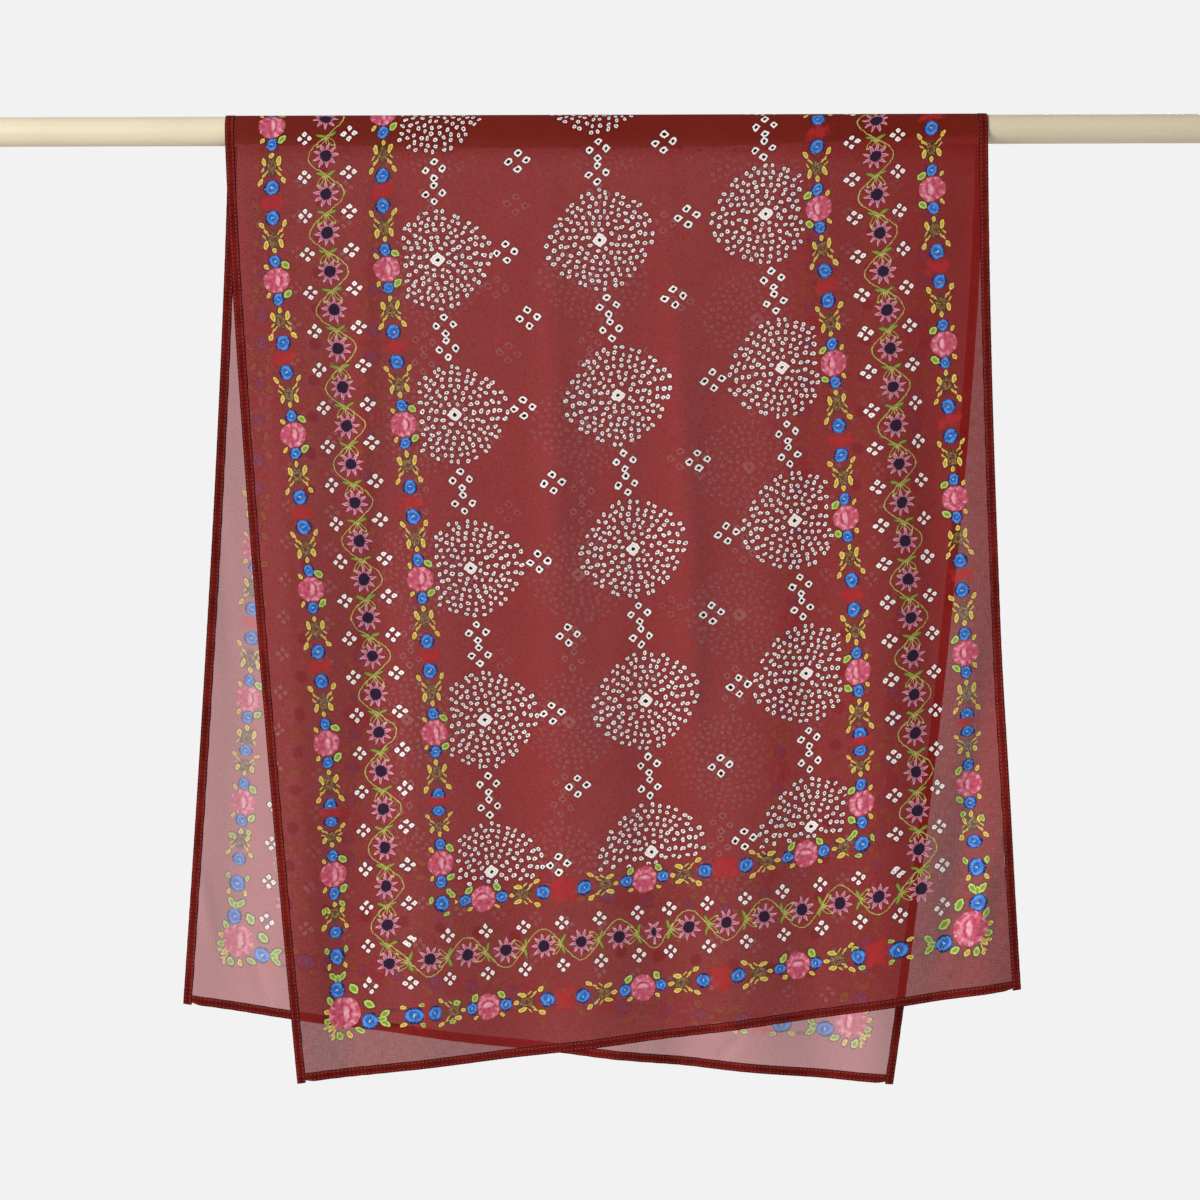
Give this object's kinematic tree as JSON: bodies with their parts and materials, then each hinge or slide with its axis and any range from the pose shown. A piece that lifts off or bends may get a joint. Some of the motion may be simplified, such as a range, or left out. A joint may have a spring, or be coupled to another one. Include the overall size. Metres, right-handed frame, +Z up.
{
  "type": "hijab scarf hung over a rod",
  "caption": "Sheer printed rectangular hijab scarf with narrow stitched hems, draped flat over a round wooden rod, with its two falls hanging a little askew.",
  "frame": {"origin": "on the rod's axis, midway between its ends, where the rod is held", "axes": "+X along the rod to the right as seen from the front fall, -Y out of the front fall, +Z up"},
  "size_m": [1.22, 0.0457, 0.9345],
  "materials": {
    "printed_voile": "sheer plain-weave voile, crimson ground with a white dot field and flower borders, soft sheen",
    "hem_voile": "the same cloth turned over twice and stitched, dark red-brown",
    "painted_wood": "cream paint, semi-matt"
  },
  "bodies": {
    "root": {"rod": "painted_wood", "cloth_front": "printed_voile", "cloth_over_rod": "printed_voile", "cloth_back": "printed_voile", "hem_front_left": "hem_voile", "hem_front_right": "hem_voile", "hem_front_bottom": "hem_voile", "hem_over_rod_left": "hem_voile", "hem_over_rod_right": "hem_voile", "hem_back_left": "hem_voile", "hem_back_right": "hem_voile", "hem_back_bottom": "hem_voile"}
  },
  "joints": []
}
